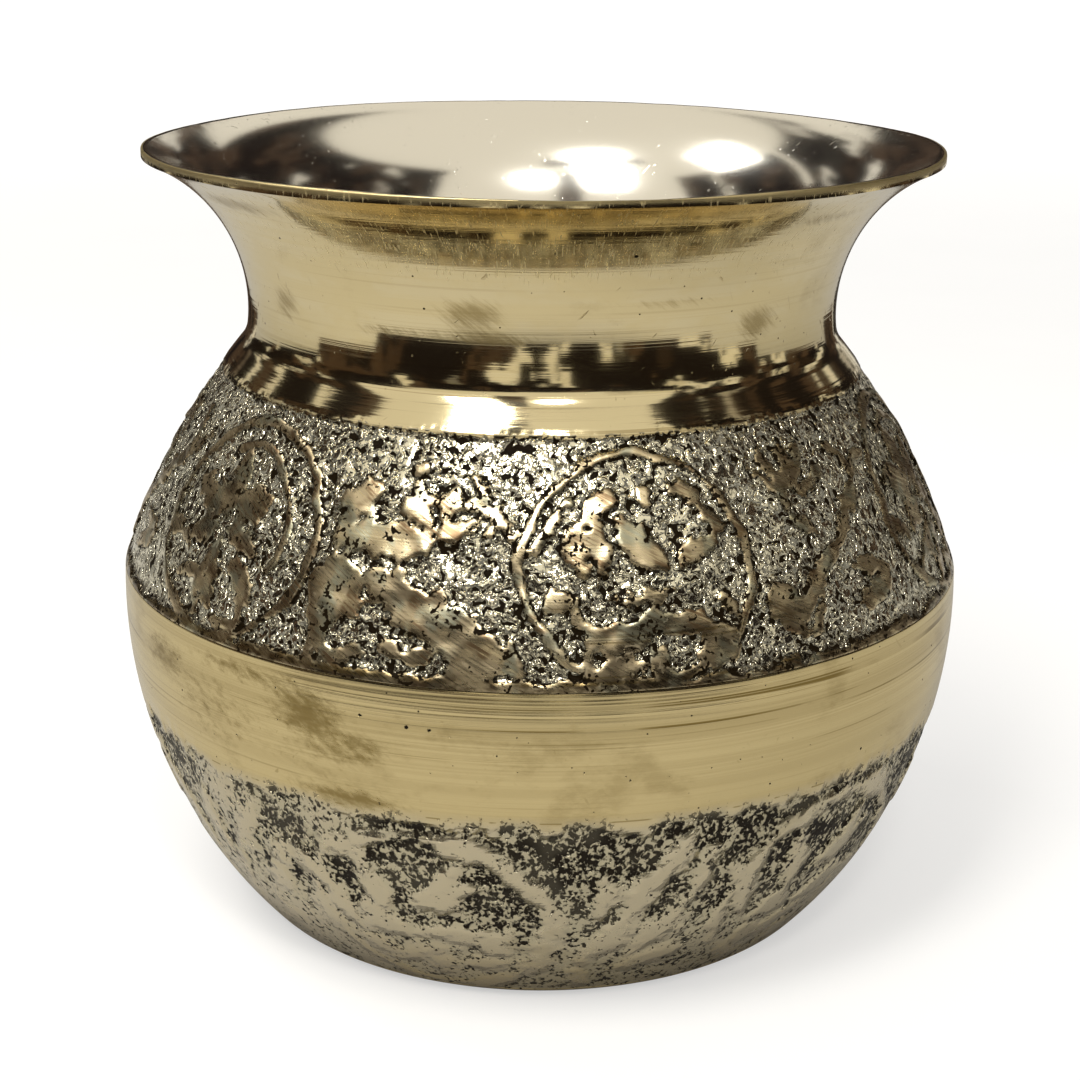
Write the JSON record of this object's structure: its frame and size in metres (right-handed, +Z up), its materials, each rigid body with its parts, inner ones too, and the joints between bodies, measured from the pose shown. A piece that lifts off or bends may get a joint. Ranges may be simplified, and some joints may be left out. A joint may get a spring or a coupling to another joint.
{
  "type": "kalash",
  "caption": "Small round-bellied brass pot with an etched shoulder and bowl, a plain turned belly band, a narrow neck and a wide flared mouth.",
  "frame": {"origin": "centre of the face that the pot stands on", "axes": "+Z up along the pot's axis; the pot is round, so X and Y are alike, and the picture looks along +Y"},
  "size_m": [0.1002, 0.1002, 0.091],
  "materials": {
    "polished_brass": "polished, lightly tarnished and scratched",
    "etched_brass": "acid-etched and stippled ground with dark pits under polished raised ornament",
    "turned_brass": "satin, lathe-turned",
    "brazing_metal": "dull, as brazed"
  },
  "bodies": {
    "root": {"mouth_neck": "polished_brass", "shoulder_shell": "etched_brass", "belly_bowl": "turned_brass", "neck_braze": "brazing_metal", "belly_braze": "brazing_metal"}
  },
  "joints": []
}
